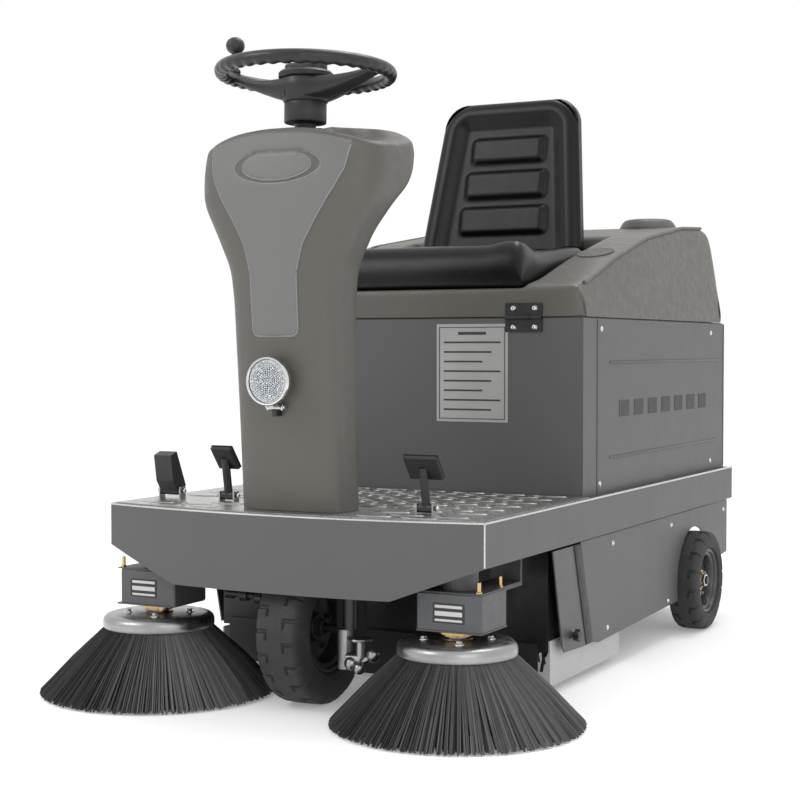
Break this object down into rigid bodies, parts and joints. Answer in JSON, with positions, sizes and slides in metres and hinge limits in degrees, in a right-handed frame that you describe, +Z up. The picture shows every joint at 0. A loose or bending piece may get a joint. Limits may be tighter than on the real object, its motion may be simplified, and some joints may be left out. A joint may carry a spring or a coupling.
{
  "type": "ride on sweeper",
  "caption": "Ride-on floor sweeper: deck on three wheels, body with seat on a hinged hood, steering column, side brushes in front and a cylinder brush and dust bin below",
  "frame": {"origin": "on the floor, under the centre of the bounding box", "axes": "+Z up; the machine drives towards -Y; +X is the driver's left"},
  "size_m": [1.0796, 1.6644, 1.2284],
  "materials": {
    "painted_sheet": "satin grey paint",
    "shell_plastic": "grained warm grey",
    "black_plastic": "fine grain",
    "dark_steel": "dark coated",
    "bright_steel": "zinc plated",
    "tread_aluminium": "lozenge tread",
    "seat_vinyl": "soft grained vinyl",
    "tyre_rubber": "treaded",
    "black_rubber": "smooth",
    "light_rubber": "smooth light grey",
    "bristle_nylon": "dark nylon bristles",
    "gearbox_paint": "grey coated casting",
    "stop_red": "glossy red",
    "lamp_glass": "fluted clear"
  },
  "bodies": {
    "chassis": {"deck_frame": "painted_sheet", "front_apron": "painted_sheet", "tread_plate": "tread_aluminium", "side_plate_left": "painted_sheet", "side_plate_right": "painted_sheet", "brush_housing": "dark_steel", "dust_skirt_left": "light_rubber", "dust_skirt_right": "light_rubber", "body_frame": "dark_steel", "front_panel": "painted_sheet", "side_cover_left": "painted_sheet", "side_cover_right": "painted_sheet", "rear_panel": "painted_sheet", "battery_pack": "black_plastic", "vacuum_fan": "gearbox_paint", "column_cover": "shell_plastic", "dashboard": "black_plastic", "steering_support": "dark_steel", "rear_axle_left": "dark_steel", "rear_axle_right": "dark_steel", "brush_motor": "gearbox_paint", "drive_belt": "black_rubber", "steering_chain": "dark_steel", "hinge_lower_left": "dark_steel", "hinge_lower_right": "dark_steel"},
    "steering": {"steering_wheel": "black_rubber", "steering_shaft": "bright_steel"},
    "spinner": {"spinner_knob": "black_rubber"},
    "fork": {"front_fork": "dark_steel"},
    "front_wheel": {"front_tyre": "tyre_rubber", "front_rim": "bright_steel"},
    "rear_wheel_left": {"rear_tyre_left": "tyre_rubber", "rear_rim_left": "bright_steel"},
    "rear_wheel_right": {"rear_tyre_right": "tyre_rubber", "rear_rim_right": "bright_steel"},
    "cylinder_brush": {"main_brush": "bristle_nylon"},
    "pulley": {"motor_pulley": "bright_steel"},
    "arm_left": {"gear_motor_left": "gearbox_paint"},
    "arm_right": {"gear_motor_right": "gearbox_paint"},
    "side_brush_left": {"brush_disc_left": "bright_steel", "side_bristles_left": "bristle_nylon"},
    "side_brush_right": {"brush_disc_right": "bright_steel", "side_bristles_right": "bristle_nylon"},
    "hood_lid": {"hood": "shell_plastic", "seat_cushion": "seat_vinyl", "seat_back": "seat_vinyl", "hinge_upper_left": "dark_steel", "hinge_upper_right": "dark_steel"},
    "accelerator": {"accelerator_pedal": "black_plastic"},
    "brake": {"brake_pedal": "dark_steel"},
    "flap_control": {"flap_pedal": "dark_steel"},
    "flap": {"front_flap": "black_rubber"},
    "dust_bin": {"hopper": "black_plastic"},
    "brush_door": {"brush_door_left": "painted_sheet"},
    "door_knob": {"door_knob_left": "black_plastic"},
    "headlight": {"headlight_housing": "bright_steel", "headlight_lens": "lamp_glass"},
    "stop_button": {"emergency_stop": "stop_red"},
    "key": {"key_switch": "bright_steel"}
  },
  "joints": [
    {"name": "fork_steer", "type": "hinge", "parent": "chassis", "child": "fork", "pos_m": [0, -0.56275, 0.14], "axis": [0, 0, 1], "range_deg": [-60, 60]},
    {"name": "steering_turn", "type": "hinge", "parent": "chassis", "child": "steering", "pos_m": [0, -0.58575, 1.152], "axis": [0, 0.0314, 0.9995], "range_deg": [-150, 150]},
    {"name": "spinner_turn", "type": "hinge", "parent": "steering", "child": "spinner", "pos_m": [-0.1535, -0.58534, 1.16489], "axis": [0, 0.0314, 0.9995], "continuous": true},
    {"name": "front_wheel_spin", "type": "hinge", "parent": "fork", "child": "front_wheel", "pos_m": [0, -0.56275, 0.14], "axis": [1, 0, 0], "continuous": true},
    {"name": "rear_wheel_left_spin", "type": "hinge", "parent": "chassis", "child": "rear_wheel_left", "pos_m": [0.391, 0.53225, 0.114], "axis": [1, 0, 0], "continuous": true},
    {"name": "rear_wheel_right_spin", "type": "hinge", "parent": "chassis", "child": "rear_wheel_right", "pos_m": [-0.391, 0.53225, 0.114], "axis": [1, 0, 0], "continuous": true},
    {"name": "main_brush_spin", "type": "hinge", "parent": "chassis", "child": "cylinder_brush", "pos_m": [0, -0.11775, 0.119], "axis": [1, 0, 0], "continuous": true},
    {"name": "pulley_spin", "type": "hinge", "parent": "chassis", "child": "pulley", "pos_m": [-0.372, -0.02775, 0.314], "axis": [1, 0, 0], "continuous": true},
    {"name": "arm_left_lift", "type": "hinge", "parent": "chassis", "child": "arm_left", "pos_m": [0.3153, -0.39275, 0.318], "axis": [-1, 0, 0], "range_deg": [0, 6]},
    {"name": "arm_right_lift", "type": "hinge", "parent": "chassis", "child": "arm_right", "pos_m": [-0.3153, -0.39275, 0.318], "axis": [-1, 0, 0], "range_deg": [0, 6]},
    {"name": "side_brush_left_spin", "type": "hinge", "parent": "arm_left", "child": "side_brush_left", "pos_m": [0.3153, -0.60775, 0.15], "axis": [0, 0, 1], "continuous": true},
    {"name": "side_brush_right_spin", "type": "hinge", "parent": "arm_right", "child": "side_brush_right", "pos_m": [-0.3153, -0.60775, 0.15], "axis": [0, 0, 1], "continuous": true},
    {"name": "hood_open", "type": "hinge", "parent": "chassis", "child": "hood_lid", "pos_m": [0, -0.15025, 0.715], "axis": [1, 0, 0], "range_deg": [0, 55]},
    {"name": "accelerator_press", "type": "hinge", "parent": "chassis", "child": "accelerator", "pos_m": [-0.335, -0.53575, 0.3767], "axis": [1, 0, 0], "range_deg": [0, 15], "stiffness_Nm_per_rad": 3, "springref_deg": -2.86},
    {"name": "brake_press", "type": "hinge", "parent": "chassis", "child": "brake", "pos_m": [-0.205, -0.53275, 0.3722], "axis": [1, 0, 0], "range_deg": [0, 16], "stiffness_Nm_per_rad": 3, "springref_deg": -2.86},
    {"name": "flap_lift", "type": "hinge", "parent": "chassis", "child": "flap", "pos_m": [0, -0.31675, 0.096], "axis": [-1, 0, 0], "range_deg": [0, 35]},
    {"name": "flap_pedal_press", "type": "hinge", "parent": "chassis", "child": "flap_control", "pos_m": [0.243, -0.58275, 0.3722], "axis": [1, 0, 0], "range_deg": [0, 14], "stiffness_Nm_per_rad": 6, "springref_deg": -2.86},
    {"name": "bin_pull", "type": "slide", "parent": "chassis", "child": "dust_bin", "axis": [0, 1, 0], "range_m": [0, 0.6]},
    {"name": "brush_door_open", "type": "hinge", "parent": "chassis", "child": "brush_door", "pos_m": [0.384, -0.28775, 0.276], "axis": [0, -1, 0], "range_deg": [0, 70]},
    {"name": "door_knob_turn", "type": "hinge", "parent": "brush_door", "child": "door_knob", "pos_m": [0.3859, -0.25275, 0.107], "axis": [1, 0, 0], "range_deg": [-90, 0]},
    {"name": "headlight_tilt", "type": "hinge", "parent": "chassis", "child": "headlight", "pos_m": [0, -0.69355, 0.5495], "axis": [1, 0, 0], "range_deg": [0, 20]},
    {"name": "stop_press", "type": "slide", "parent": "chassis", "child": "stop_button", "axis": [0, -0.6691, -0.7431], "range_m": [0, 0.005], "stiffness_N_per_m": 800, "springref_m": -0.001},
    {"name": "key_turn", "type": "hinge", "parent": "chassis", "child": "key", "pos_m": [0.05, -0.49148, 1.0238], "axis": [0, 0.6691, 0.7431], "range_deg": [-60, 0]}
  ],
  "couplings": [
    {"joint": "steering_turn", "follows": "fork_steer", "ratio": 2.5},
    {"joint": "pulley_spin", "follows": "main_brush_spin", "ratio": 2.7333},
    {"joint": "arm_right_lift", "follows": "arm_left_lift", "ratio": 1},
    {"joint": "flap_pedal_press", "follows": "flap_lift", "ratio": 0.4}
  ]
}
